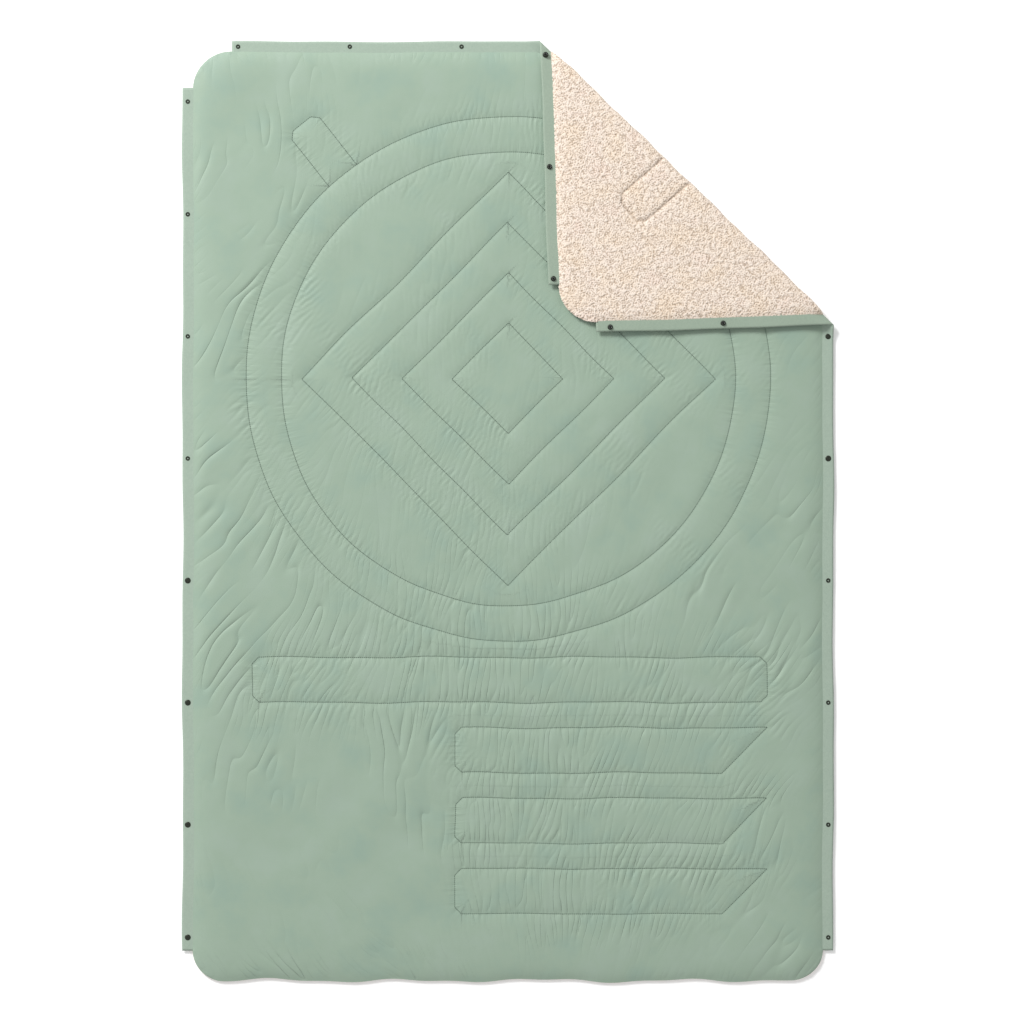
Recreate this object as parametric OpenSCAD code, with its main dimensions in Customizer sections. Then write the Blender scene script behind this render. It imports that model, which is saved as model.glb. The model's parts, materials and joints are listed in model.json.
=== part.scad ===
// Quilted camp blanket: ripstop shell, batting and sherpa lining, with a row of
// press studs on a tape along three edges and one corner turned over.
// It lies on z = 0 with its shell up, its long side along Y and its top edge at +Y.
// Every layer is drawn lying flat. The turned corner is then rotated into place.

/* [Blanket] */
// Overall width, over both side tapes
overall_w = 1386; // [1380:1:1396]
// Overall length, from the bottom edge to the edge of the top tape
overall_l = 2000; // [1990:2:2060]
// Radius of the two top corners
top_corner_r = 80; // [60:1:90]
// Radius of the two bottom corners
bottom_corner_r = 65; // [50:1:80]

/* [Layers] */
// Thickness of the sherpa lining
lining_t = 5; // [4:0.5:7]
// Thickness of the batting
fill_t = 8; // [6:0.5:12]
// Thickness of the woven shell with the air it holds
shell_t = 1; // [0.8:0.1:1.5]
// Width of the seam allowance turned in along every edge
seam_w = 8; // [6:0.5:10]

/* [Snap tape] */
// Width of the tape that stands out past the seam
tape_w = 22; // [20:0.5:26]
// Thickness of the folded tape
tape_t = 1; // [0.8:0.1:1.2]
// Lower end of the side tapes, up from the bottom edge
tape_bottom_gap = 64; // [55:1:75]
// Upper end of the side tapes, down from the top of the tape
tape_top_gap = 98; // [90:1:105]
// Half the length of the top tape
top_tape_half = 588; // [584:1:590]

/* [Turned corner] */
// Where the crease meets the top edge, out from the middle
crease_top_x = 90.5; // [88:0.5:97]
// Slope of the crease, down to the right
crease_angle = 44; // [43.6:0.1:44.4]
// Gap between two layers that lie on each other
layer_gap = 0.5; // [0.3:0.1:1]

/* [Quilting] */
// Width of a sewn channel
channel_w = 76; // [70:1:80]
// Outer radius of the ring channel
ring_r = 558; // [550:1:562]
// Middle of the ring, up from the middle of the blanket
ring_y = 282; // [275:1:285]
// Half of the diagonal of the largest diamond
diamond_half = 440; // [420:1:450]
// Number of nested diamonds
diamond_count = 4; // [2:1:4]
// How far the two upper tabs stand out of the ring
tab_l = 139; // [120:1:145]
// Angle of the tabs, away from the ring's top
tab_angle = 39; // [37:1:41]
// Height of a straight channel
bar_h = 96; // [90:1:100]
// Distance between one straight channel and the next
bar_pitch = 150; // [146:1:152]
// Top of the first straight channel, down from the middle
bar_top = 311; // [305:1:315]
// Number of short channels under the long one
short_bars = 3; // [1:1:3]
// Width of a line of stitches
stitch_w = 1.2; // [1:0.1:2]
// Depth that a line of stitches is pulled into its layer
stitch_depth = 0.5; // [0.3:0.05:0.6]

/* [Snaps] */
// Pitch of the snaps along the sides
side_pitch = 260; // [256:1:262]
// Pitch of the end snaps of the sides
end_pitch = 240; // [236:1:242]
// Pitch of the snaps along the top
top_pitch = 238; // [234:1:240]
// Pitch of the two middle snaps of the top
top_middle_pitch = 198; // [196:1:206]
// Radius of the socket's mouth
mouth_r = 3; // [2.95:0.05:3.1]
// Radius of the stud's head
stud_r = 2.85; // [2.8:0.05:2.9]
// Radius of the cap on the shell side of a socket
cap_r = 6.25; // [6:0.25:7]
// Outer radius of the open ring on the shell side of a stud
open_ring_r = 4.75; // [4.6:0.05:5]

/* [Hidden] */

$fn = 64;
far = 3000;
cut_gap = 0.3;

// Outline
tape_x = overall_w / 2;
tape_y = overall_l / 2;
body_x = tape_x - tape_w;
body_top = tape_y - tape_w;
body_bottom = -tape_y;

// Heights
seam_z = lining_t;
fill_top = lining_t + fill_t;
shell_z = fill_top + shell_t;
tape_mid_z = seam_z + tape_t / 2;

// The crease is the line of points whose distance along the crease normal is crease_c
crease_c = crease_top_x * sin(crease_angle) + body_top * cos(crease_angle);
crease_z = shell_z + layer_gap / 2;

// Snaps, as points on the flat blanket
snap_x = tape_x - tape_w / 2;
snap_y = tape_y - tape_w / 2;
side_shift = -7;
side_middle = (body_top + body_bottom) / 2 + side_shift;
side_steps = [0.5, 1.5, 2.5];
side_reach = [for (s = side_steps) s * side_pitch];
side_offsets = concat(side_reach, [side_reach[2] + end_pitch]);
top_offsets = [for (i = [0 : 2]) top_middle_pitch / 2 + i * top_pitch];
right_upper = [for (d = side_offsets) [snap_x, side_middle + d]];
right_lower = [for (d = side_offsets) [snap_x, side_middle - d]];
left_upper = [for (p = right_upper) [-p[0], p[1]]];
left_lower = [for (p = right_lower) [-p[0], p[1]]];
top_right = [for (d = top_offsets) [d, snap_y]];
top_left = [for (d = top_offsets) [-d, snap_y]];

function along_normal(p) = p[0] * sin(crease_angle) + p[1] * cos(crease_angle);
function turned(p) = along_normal(p) > crease_c;
right_female = [for (p = right_upper) if (!turned(p)) p];
corner_female = concat([for (p = right_upper) if (turned(p)) p], top_right);
all_female = concat(right_female, corner_female, left_lower);
all_male = concat(right_lower, left_upper, top_left);

// Snap details. Depths run down from the tape's lower face
plate_t = 0.6;
post_r = 1.6;
flare_r = 2.2;
flare_t = 0.5;
socket_flange_r = 5.75;
socket_wall_r = 4.6;
socket_depth = 4;
groove_r = 3.7;
groove_top = 2.6;
groove_bottom = 3.4;
wire_r = 0.35;
spring_r = 3;
spring_arc = 300;
stud_flange_r = 5;
neck_r = 2.4;
neck_end = 1.9;
head_end = 3.1;
stud_tip = 3.4;
tip_r = 2.2;
prongs = 5;
prong_r = 0.45;
prong_ring_r = 3.9;
open_ring_hole_r = 1.5;
open_ring_t = 0.8;
cap_rim_t = 0.5;
cap_t = 1.4;

// Quilting
ring_inner_r = ring_r - channel_w + 1;
diamond_step = channel_w * sqrt(2);
bar_left = -544;
bar_right = 551;
short_bar_left = -113;

sage = [0.61, 0.71, 0.64];
pale_sage = [0.66, 0.75, 0.69];
dark_sage = [0.44, 0.53, 0.47];
cream = [0.93, 0.87, 0.79];
white = [0.96, 0.96, 0.94];
gunmetal = [0.24, 0.26, 0.22];
steel = [0.6, 0.61, 0.62];

// ---- Outlines, flat on the XY plane ----

// The blanket without its tape, moved in by inset on every side
module blanket_2d(inset = 0) {
  x = body_x - inset;
  y1 = body_top - inset;
  y0 = body_bottom + inset;
  rt = top_corner_r - inset;
  rb = bottom_corner_r - inset;
  translate([-x, y0 + rb]) square([2 * x, y1 - rt - y0 - rb]);
  translate([-x + rt, y1 - rt]) square([2 * (x - rt), rt]);
  translate([-x + rb, y0]) square([2 * (x - rb), rb]);
  for (side = [-1, 1]) {
    translate([side * (x - rt), y1 - rt]) circle(r = rt);
    translate([side * (x - rb), y0 + rb]) circle(r = rb);
  }
}

module beyond_crease(offset_by) {
  rotate(-crease_angle)
    translate([-far, crease_c + offset_by])
      square([2 * far, far]);
}

// The region of one part: "left", "right" or "corner"
module region_2d(part) {
  if (part == "left") {
    translate([-far - cut_gap / 2, -far]) square([far, 2 * far]);
  }
  if (part == "right") {
    difference() {
      translate([cut_gap / 2, -far]) square([far, 2 * far]);
      beyond_crease(-cut_gap / 2);
    }
  }
  if (part == "corner") {
    intersection() {
      translate([cut_gap / 2, -far]) square([far, 2 * far]);
      beyond_crease(cut_gap / 2);
    }
  }
}

module layer(part, z0, z1) {
  translate([0, 0, z0])
    linear_extrude(z1 - z0)
      intersection() {
        children();
        region_2d(part);
      }
}

// Turns the corner over about its crease
module at_rest(part) {
  if (part == "corner") {
    rotate([0, 0, -crease_angle])
      translate([0, crease_c, crease_z])
        rotate([180, 0, 0])
          translate([0, -crease_c, -crease_z])
            rotate([0, 0, crease_angle])
              children();
  } else {
    children();
  }
}

// ---- Tapes ----

module side_tape_2d(side) {
  inner = body_x - seam_w;
  y0 = -tape_y + tape_bottom_gap;
  y1 = tape_y - tape_top_gap;
  polygon([
    [side * inner, y0],
    [side * tape_x, y0 + tape_w / 2],
    [side * tape_x, y1],
    [side * inner, y1]
  ]);
}

module top_tape_2d() {
  translate([-top_tape_half, body_top - seam_w])
    square([2 * top_tape_half, tape_w + seam_w]);
}

module all_tapes_2d() {
  side_tape_2d(-1);
  side_tape_2d(1);
  top_tape_2d();
}

module post_holes_2d() {
  for (p = all_female) {
    translate(p) circle(r = post_r);
  }
  for (p = all_male) {
    translate(p) prongs_2d();
  }
}

module prongs_2d() {
  for (i = [0 : prongs - 1]) {
    rotate(i * 360 / prongs)
      translate([prong_ring_r, 0])
        circle(r = prong_r, $fn = 16);
  }
}

module tape(part) {
  color(pale_sage)
    at_rest(part)
      layer(part, seam_z, seam_z + tape_t)
        difference() {
          children();
          post_holes_2d();
        }
}

// ---- Lines of stitches ----

// Each straight run is longer by half a stitch's width at both ends, to fill the corners
module stitch_path(points) {
  for (i = [0 : len(points) - 2]) {
    run = points[i + 1] - points[i];
    translate(points[i])
      rotate(atan2(run[1], run[0]))
        translate([-stitch_w / 2, -stitch_w / 2])
          square([norm(run) + stitch_w, stitch_w]);
  }
}

module stitch_ring(r) {
  difference() {
    circle(r = r + stitch_w / 2, $fn = 180);
    circle(r = r - stitch_w / 2, $fn = 180);
  }
}

module diamonds() {
  for (i = [0 : diamond_count - 1]) {
    h = diamond_half - i * diamond_step;
    stitch_path([[0, h], [-h, 0], [0, -h], [h, 0], [0, h]]);
  }
}

// A tab standing straight up from the ring
module tab() {
  half = channel_w / 2;
  start = sqrt(ring_r * ring_r - half * half) + stitch_w / 4;
  end = ring_r + tab_l;
  stitch_path([[-half, start], [-half, end], [half, end], [half, start]]);
}

module long_bar() {
  y1 = -bar_top;
  y0 = y1 - bar_h;
  stitch_path([
    [bar_left, y0], [bar_left, y1], [bar_right, y1], [bar_right, y0], [bar_left, y0]
  ]);
}

// A bar with a mitred right end
module short_bar(i) {
  y1 = -bar_top - i * bar_pitch;
  y0 = y1 - bar_h;
  x0 = short_bar_left;
  stitch_path([[x0, y0], [x0, y1], [bar_right, y1], [bar_right - bar_h, y0], [x0, y0]]);
}

module quilting_2d() {
  translate([0, ring_y]) {
    stitch_ring(ring_r);
    stitch_ring(ring_inner_r);
    diamonds();
    rotate(tab_angle) tab();
    rotate(-tab_angle) tab();
  }
  long_bar();
  for (i = [1 : short_bars]) {
    short_bar(i);
  }
}

module thread(part, z0) {
  color(dark_sage)
    at_rest(part)
      layer(part, z0, z0 + stitch_depth)
        quilting_2d();
}

module needle_thread(part) {
  thread(part, shell_z - stitch_depth);
}

module bobbin_thread(part) {
  thread(part, 0);
}

// ---- Layers ----

module lining(part) {
  color(cream)
    at_rest(part) {
      layer(part, stitch_depth, lining_t) blanket_2d();
      layer(part, 0, stitch_depth)
        difference() {
          blanket_2d();
          quilting_2d();
        }
    }
}

// Fills the shell, and is stepped back over the seam allowance
module fill(part) {
  color(white)
    at_rest(part) {
      layer(part, seam_z, seam_z + tape_t) blanket_2d(seam_w);
      layer(part, seam_z + tape_t, fill_top) blanket_2d(shell_t);
    }
}

// Top face, side wall and turned-in seam allowance
module shell(part) {
  color(sage)
    at_rest(part) {
      layer(part, fill_top, shell_z - stitch_depth) blanket_2d();
      layer(part, shell_z - stitch_depth, shell_z)
        difference() {
          blanket_2d();
          quilting_2d();
        }
      layer(part, seam_z + tape_t, fill_top)
        difference() {
          blanket_2d();
          blanket_2d(shell_t);
        }
      layer(part, seam_z, seam_z + tape_t)
        difference() {
          blanket_2d();
          blanket_2d(seam_w);
          all_tapes_2d();
        }
    }
}

// ---- Snaps, about the middle of the tape, with the shell side up ----

module place(part, points) {
  at_rest(part)
    for (p = points) {
      translate([p[0], p[1], tape_mid_z]) children();
    }
}

// Turns a profile of [radius, depth under the tape] pairs
module turn_down(profile) {
  translate([0, 0, -tape_t / 2])
    rotate_extrude()
      polygon([for (q = profile) [q[0], -q[1]]]);
}

module cap() {
  translate([0, 0, tape_t / 2])
    rotate_extrude()
      polygon([
        [0, 0], [cap_r, 0], [cap_r, cap_rim_t],
        [cap_r - 1, cap_t - 0.3], [cap_r - 3, cap_t], [0, cap_t]
      ]);
  translate([0, 0, -tape_t / 2 - plate_t]) cylinder(r = post_r, h = tape_t + plate_t);
  translate([0, 0, -tape_t / 2 - plate_t - flare_t]) cylinder(r = flare_r, h = flare_t);
}

module socket() {
  turn_down([
    [post_r, 0], [socket_flange_r, 0], [socket_flange_r, plate_t],
    [socket_wall_r, plate_t + 0.4], [socket_wall_r, socket_depth - 0.3],
    [socket_wall_r - 0.3, socket_depth], [mouth_r, socket_depth],
    [mouth_r, groove_bottom], [groove_r, groove_bottom],
    [groove_r, groove_top], [mouth_r, groove_top],
    [mouth_r, plate_t], [post_r, plate_t]
  ]);
}

module spring() {
  translate([0, 0, -tape_t / 2 - (groove_top + groove_bottom) / 2])
    rotate_extrude(angle = spring_arc)
      translate([spring_r, 0])
        circle(r = wire_r, $fn = 24);
}

module stud() {
  difference() {
    turn_down([
      [0, 0], [stud_flange_r, 0], [stud_flange_r, plate_t],
      [neck_r, plate_t], [neck_r, neck_end], [stud_r, neck_end],
      [stud_r, head_end], [tip_r, stud_tip], [0, stud_tip]
    ]);
    translate([0, 0, -tape_t / 2 - plate_t])
      linear_extrude(plate_t) prongs_2d();
  }
}

module open_ring() {
  chamfer = 0.25;
  translate([0, 0, tape_t / 2])
    rotate_extrude()
      polygon([
        [open_ring_hole_r, 0], [open_ring_r, 0],
        [open_ring_r, open_ring_t - chamfer],
        [open_ring_r - chamfer, open_ring_t],
        [open_ring_hole_r + chamfer, open_ring_t],
        [open_ring_hole_r, open_ring_t - chamfer]
      ]);
  translate([0, 0, -tape_t / 2 - plate_t])
    linear_extrude(tape_t + plate_t) prongs_2d();
}

module caps(part, points) {
  color(gunmetal) place(part, points) cap();
}

module sockets(part, points) {
  color(gunmetal) place(part, points) socket();
}

module springs(part, points) {
  color(steel) place(part, points) spring();
}

module studs(part, points) {
  color(gunmetal) place(part, points) stud();
}

module open_rings(part, points) {
  color(gunmetal) place(part, points) open_ring();
}

// ---- One module per piece ----

module right_lining() { lining("right"); }
module right_fill() { fill("right"); }
module right_shell() { shell("right"); }
module right_needle_thread() { needle_thread("right"); }
module right_bobbin_thread() { bobbin_thread("right"); }
module right_side_tape() { tape("right") side_tape_2d(1); }
module top_tape_middle() { tape("right") top_tape_2d(); }
module right_stud_rings() { open_rings("right", right_lower); }
module right_studs() { studs("right", right_lower); }
module right_socket_caps() { caps("right", right_female); }
module right_sockets() { sockets("right", right_female); }
module right_socket_springs() { springs("right", right_female); }

module left_lining() { lining("left"); }
module left_fill() { fill("left"); }
module left_shell() { shell("left"); }
module left_needle_thread() { needle_thread("left"); }
module left_bobbin_thread() { bobbin_thread("left"); }
module left_side_tape() { tape("left") side_tape_2d(-1); }
module top_tape_left() { tape("left") top_tape_2d(); }
module left_stud_rings() { open_rings("left", left_upper); }
module left_studs() { studs("left", left_upper); }
module left_socket_caps() { caps("left", left_lower); }
module left_sockets() { sockets("left", left_lower); }
module left_socket_springs() { springs("left", left_lower); }
module top_stud_rings() { open_rings("left", top_left); }
module top_studs() { studs("left", top_left); }

module corner_lining() { lining("corner"); }
module corner_fill() { fill("corner"); }
module corner_shell() { shell("corner"); }
module corner_needle_thread() { needle_thread("corner"); }
module corner_bobbin_thread() { bobbin_thread("corner"); }
module corner_side_tape() { tape("corner") side_tape_2d(1); }
module corner_top_tape() { tape("corner") top_tape_2d(); }
module corner_socket_caps() { caps("corner", corner_female); }
module corner_sockets() { sockets("corner", corner_female); }
module corner_socket_springs() { springs("corner", corner_female); }

right_lining();
right_fill();
right_shell();
right_needle_thread();
right_bobbin_thread();
right_side_tape();
top_tape_middle();
right_stud_rings();
right_studs();
right_socket_caps();
right_sockets();
right_socket_springs();
left_lining();
left_fill();
left_shell();
left_needle_thread();
left_bobbin_thread();
left_side_tape();
top_tape_left();
left_stud_rings();
left_studs();
left_socket_caps();
left_sockets();
left_socket_springs();
top_stud_rings();
top_studs();
corner_lining();
corner_fill();
corner_shell();
corner_needle_thread();
corner_bobbin_thread();
corner_side_tape();
corner_top_tape();
corner_socket_caps();
corner_sockets();
corner_socket_springs();
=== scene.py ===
"""A quilted camp blanket with one corner turned over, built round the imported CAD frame.

Every layer is made lying flat, in millimetres, in the plane that the frame uses.
The part beyond the crease is then turned over, as the frame's corner_fold joint turns it.
"""

import json
import math

import bpy
import numpy as np
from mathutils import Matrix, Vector


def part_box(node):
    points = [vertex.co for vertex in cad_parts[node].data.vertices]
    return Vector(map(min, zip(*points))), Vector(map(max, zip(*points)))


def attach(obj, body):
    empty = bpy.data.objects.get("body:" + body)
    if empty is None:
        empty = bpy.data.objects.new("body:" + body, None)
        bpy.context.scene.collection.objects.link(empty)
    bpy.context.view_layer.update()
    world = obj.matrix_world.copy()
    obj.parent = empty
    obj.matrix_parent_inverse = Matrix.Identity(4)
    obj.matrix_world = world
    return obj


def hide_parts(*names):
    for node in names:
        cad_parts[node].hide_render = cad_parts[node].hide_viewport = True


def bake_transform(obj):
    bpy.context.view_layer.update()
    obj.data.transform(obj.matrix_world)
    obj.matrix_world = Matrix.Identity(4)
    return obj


MM = 0.001
SEED = 7

# Quilting, in mm
RING_Y = 282.0
RING_RADII = (558.0, 483.0)
CHANNEL = 76.0
DIAMOND_HALF = 440.0
DIAMOND_COUNT = 4
TAB_LENGTH = 139.0
TAB_ANGLE = math.radians(39)
BAR_LEFT = -544.0
BAR_RIGHT = 551.0
SHORT_BAR_LEFT = -113.0
BAR_TOP = -311.0
BAR_HEIGHT = 96.0
BAR_PITCH = 150.0
SHORT_BARS = 3
CORNER_CUT = 14.0

# Stitches
STITCH_PITCH = 4.2
STITCH_LENGTH = 3.1
THREAD_RADIUS = 0.7
NEEDLE_LIFT = 0.35
BOBBIN_LIFT = 1.0
STITCH_TO_CREASE = 1.5

# Outline
TOP_RADIUS = 80.0
BOTTOM_RADIUS = 65.0
SEAM_WIDTH = 8.0

# Heights above the floor, with the shell up
SEAM_Z = 5.5
BATTING_LOW = 5.6
BATTING_HIGH = 8.0
STITCH_Z = 10.3
LOFT_Z = 14.0
UNDER_FLAP_TOP = 14.05
LOFT_TOP = 15.2

# Over what distance the shell comes away from the stitches, the seam and the crease, and over what
# distance the stitches and the edge climb to the crease
STITCH_PULL = 13.0
SEAM_PULL = 20.0
CREASE_PULL = 12.0
CREASE_CLIMB = 14.0

# Gathers in the shell: the ripples' wavelength, which is two folds, and their length and depth
FINE_WAVE = 28.0
FINE_RUN = 62.0
FINE_DEPTH = 2.9
BROAD_WAVE = 70.0
BROAD_RUN = 110.0
BROAD_DEPTH = 3.0
GATHER_REACH = 60.0
HEM_REACH = 22.0
FOOT_REACH = 65.0
VALLEY = 0.3
SIDE_LEAN = math.radians(33)

# The cloth solver, with the share of spare cloth at the stitches and at the seam
SOLVER_STEPS = 120
STRETCH_FIX = 0.9
BATTING_PUSH = 0.02
STIFFNESS = 0.04
ROUGH_START = 0.25
STITCH_SPARE = 0.03
SEAM_SPARE = 0.02

# The lining's pile
CURL_WAVE = 5.6
CLUMP_WAVE = 17.0
FLOOR_CURL_WAVE = 13.0
CURL_DEPTH = 1.8
DIMPLE_DEPTH = 3.6
DIMPLE_REACH = 4.2
RIM_REACH = 9.0
FLOOR_BULGE = 1.0
CORNER_BULGE = 4.4
BULGE_WIDTH = 10.0

# The crease: no wander near it, the lining's bend round it, and the slit in each tape
CREASE_CALM = 60.0
BEND_LENGTH = 33.0
BEND_BULGE = 6.0
CREASE_SLIT = 0.5

# Grid cells: the shell's fits the diamonds, so that their sides run along its diagonals
SHELL_CELL = DIAMOND_HALF / 123
SNAP_REACH = 0.502 * SHELL_CELL
PILE_CELL = 1.3
BATTING_CELL = 20.0
BATTING_GAP = 14.0
TAPE_CELL = 5.0
TAPE_ROWS = 9
SNAP_CALM = 22.0
SLIVER = 0.5

# Studio, in metres
FLOOR_HALF = 12.0
FLOOR_Z = -0.0008
FLOOR_GLOW = 0.12
SKY_STRENGTH = 0.6
LAMP_SIZE = 3.0
LAMP_WATTS = 800
LAMP_PLACE = (-4.6, 5.6, 5.2)
CAMERA_PLACE = (0.0085, -0.0021, 6.064)
CAMERA_LENS = 100


# ------------ the frame

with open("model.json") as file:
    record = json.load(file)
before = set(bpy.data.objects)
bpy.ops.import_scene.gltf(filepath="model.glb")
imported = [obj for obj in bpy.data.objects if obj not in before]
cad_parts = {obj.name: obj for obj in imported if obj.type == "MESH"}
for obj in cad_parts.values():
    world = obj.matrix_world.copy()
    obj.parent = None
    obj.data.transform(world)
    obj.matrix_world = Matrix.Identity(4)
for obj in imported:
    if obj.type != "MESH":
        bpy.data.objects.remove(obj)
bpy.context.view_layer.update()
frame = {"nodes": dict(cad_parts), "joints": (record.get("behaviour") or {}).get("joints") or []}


def joint(name):
    """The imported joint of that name."""
    return next(j for j in frame["joints"] if j["name"] == name)


def node_box(name):
    """A CAD node's lowest and highest corners, in mm."""
    low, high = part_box(name)
    return np.array(low) / MM, np.array(high) / MM


LOW, HIGH = node_box("left_shell")
BODY_X = -LOW[0]
BODY_BOTTOM = LOW[1]
BODY_TOP = HIGH[1]

TAPE_LOW, TAPE_HIGH = node_box("left_side_tape")
TAPE_X = -TAPE_LOW[0]
TAPE_ENDS = (TAPE_LOW[1], TAPE_HIGH[1])
TOP_TAPE_LOW, TOP_TAPE_HIGH = node_box("top_tape_left")
TAPE_Y = TOP_TAPE_HIGH[1]
TOP_TAPE_HALF = -TOP_TAPE_LOW[0]

CREASE = joint("corner_fold")
CREASE_Z = CREASE["pos_m"][2] / MM
CREASE_ALONG = -np.array(CREASE["axis"][:2])
CREASE_OUT = np.array([-CREASE_ALONG[1], CREASE_ALONG[0]])
CREASE_POINT = np.array(CREASE["pos_m"][:2]) / MM


# ------------ small formulas

def dot(a, b):
    """Dot product along the last axis."""
    return (a * b).sum(-1)


def rising(value, start, width):
    """From 0 up to start, to 1 from start + width on."""
    return np.clip((value - start) / width, 0, 1)


def fading(distance, reach):
    """From 1 at no distance, down to about a third at reach."""
    return np.exp(-distance / reach)


def bell(distance, reach):
    """Like fading, with a rounded top."""
    return np.exp(-((distance / reach) ** 2))


def swing(size, place, length, shift=0.0):
    """A sine wave of that size, which turns by one radian for each length."""
    return size * np.sin(place / length + shift)


def past_crease(p):
    """How far points of the flat blanket lie beyond the crease."""
    return dot(p[..., :2] - CREASE_POINT, CREASE_OUT)


def turned(p):
    """Where points of the flat corner are once it is turned over on the blanket."""
    out = p.copy()
    out[..., :2] -= 2 * past_crease(p)[..., None] * CREASE_OUT
    out[..., 2] = 2 * CREASE_Z - p[..., 2]
    return out


def drifted(p):
    """Points with the slight wander of sewing, the same for every layer and none at the crease."""
    out = p.copy()
    x, y = p[..., 0], p[..., 1]
    calm = 1 - bell(past_crease(p), CREASE_CALM)
    side = calm * np.clip(abs(x) / BODY_X, 0, 1.1) ** 10
    end = calm * np.clip(abs(y) / TAPE_Y, 0, 1.1) ** 10
    hem = np.clip(-y / BODY_TOP, 0, 1.1) ** 30
    inner = calm * np.clip(1 - (x / BODY_X) ** 4, 0, 1) * np.clip(1 - (y / TAPE_Y) ** 4, 0, 1)
    out[..., 0] += np.sign(x) * side * (swing(0.9, y, 93, x / 700) + swing(0.5, y, 37))
    out[..., 1] += np.sign(y) * end * (swing(0.9, x, 81, y / 500) + swing(0.5, x, 33))
    out[..., 1] += hem * (swing(1.5, x, 47) + swing(0.8, x, 21, 1))
    out[..., 0] += inner * (swing(1.4, y, 57, x / 190) + swing(0.7, y, 26, -x / 150))
    out[..., 1] += inner * (swing(1.6, x, 52, y / 170) + swing(0.8, x, 24, -y / 130))
    return out


# ------------ the quilting

def unit(v):
    """The vector at length 1."""
    return v / np.linalg.norm(v)


def with_cut_corners(points, square=()):
    """A closed outline whose corners are cut off, apart from the ones listed as square."""
    out = []
    for i, p in enumerate(points):
        if i in square:
            out.append(p)
        else:
            out.append(p + unit(points[i - 1] - p) * CORNER_CUT)
            out.append(p + unit(points[(i + 1) % len(points)] - p) * CORNER_CUT)
    return out


def closed(points):
    """The straight lines round a closed outline."""
    return list(zip(points, points[1:] + points[:1]))


def diamond(half):
    """A square that stands on its corner in the middle of the ring."""
    middle = np.array([0, RING_Y])
    return closed([middle + half * np.array(c) for c in ((0, 1), (-1, 0), (0, -1), (1, 0))])


def bar(left, top, mitred):
    """A straight channel. A mitred one ends at 45 degrees on the right."""
    low = top - BAR_HEIGHT
    inset = BAR_HEIGHT if mitred else 0
    corners = [(left, low), (left, top), (BAR_RIGHT, top), (BAR_RIGHT - inset, low)]
    points = [np.array(c, float) for c in corners]
    return closed(with_cut_corners(points, square=(2, 3) if mitred else ()))


def tab(side):
    """A short channel that stands out of the ring."""
    angle = side * TAB_ANGLE
    out = np.array([math.sin(angle), math.cos(angle)])
    across = np.array([math.cos(angle), -math.sin(angle)])
    half = CHANNEL / 2
    start = math.sqrt(RING_RADII[0] ** 2 - half ** 2)
    end = RING_RADII[0] + TAB_LENGTH
    shape = [(start, -half), (end - CORNER_CUT, -half), (end, CORNER_CUT - half)]
    shape += [(r, -w) for r, w in reversed(shape)]
    points = [np.array([0, RING_Y]) + out * r + across * w for r, w in shape]
    return list(zip(points, points[1:]))


def stitch_segments():
    """Every straight line of stitches, as pairs of points."""
    segments = []
    for i in range(DIAMOND_COUNT):
        segments += diamond(DIAMOND_HALF - i * CHANNEL * math.sqrt(2))
    segments += bar(BAR_LEFT, BAR_TOP, False)
    for i in range(SHORT_BARS):
        segments += bar(SHORT_BAR_LEFT, BAR_TOP - (i + 1) * BAR_PITCH, True)
    for side in (-1, 1):
        segments += tab(side)
    return segments


SEGMENTS = stitch_segments()


def stitch_lines(p):
    """For each line of stitches: distance from points p, nearest point, direction, and run."""
    start = 0
    for a, b in SEGMENTS:
        length = np.linalg.norm(b - a)
        t = np.clip(((p - a) @ (b - a)) / length ** 2, 0, 1)
        at = a + t[..., None] * (b - a)
        way = np.broadcast_to((b - a) / length, p.shape)
        yield np.linalg.norm(p - at, axis=-1), at, way, start + t * length
        start += length
    v = p - [0, RING_Y]
    radius = np.maximum(np.linalg.norm(v, axis=-1), 1e-6)
    out = v / radius[..., None]
    turn = np.arctan2(v[..., 1], v[..., 0]) + math.pi
    for ring in RING_RADII:
        way = np.stack([-out[..., 1], out[..., 0]], -1)
        yield abs(radius - ring), [0, RING_Y] + out * ring, way, start + ring * turn
        start += 2 * math.pi * ring


def nearest_stitch(p):
    """For each point, what stitch_lines gives for the line of stitches that is nearest."""
    away = np.full(p.shape[:-1], np.inf)
    at, along, run = np.zeros_like(p), np.zeros_like(p), np.zeros(p.shape[:-1])
    for distance, point, way, place in stitch_lines(p):
        near = distance < away
        away[near] = distance[near]
        at[near] = point[near]
        along[near] = way[near]
        run[near] = place[near]
    return away, at, along, run


def inside(p):
    """Distance inside the outline, negative outside, and the nearest point of its rounded corners."""
    x, y = p[..., 0], p[..., 1]
    gap = np.minimum(np.minimum(BODY_X - abs(x), BODY_TOP - y), y - BODY_BOTTOM)
    near = np.stack([np.clip(x, -BODY_X, BODY_X), np.clip(y, BODY_BOTTOM, BODY_TOP)], -1)
    for radius, middle_y, up in (
        (TOP_RADIUS, BODY_TOP - TOP_RADIUS, 1),
        (BOTTOM_RADIUS, BODY_BOTTOM + BOTTOM_RADIUS, -1),
    ):
        middle = np.stack([np.sign(x) * (BODY_X - radius), np.full_like(x, middle_y)], -1)
        v = p - middle
        r = np.maximum(np.linalg.norm(v, axis=-1), 1e-6)
        rounded = (abs(x) > BODY_X - radius) & (up * (y - middle_y) > 0)
        gap = np.where(rounded, radius - r, gap)
        near = np.where(rounded[..., None], middle + v / r[..., None] * radius, near)
    return gap, near


def raised_at_crease(z, beyond):
    """A pinned height, which climbs to the crease where a line of stitches or the edge crosses it."""
    return z + (CREASE_Z - z) * bell(beyond, CREASE_CLIMB)


# ------------ noise

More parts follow.
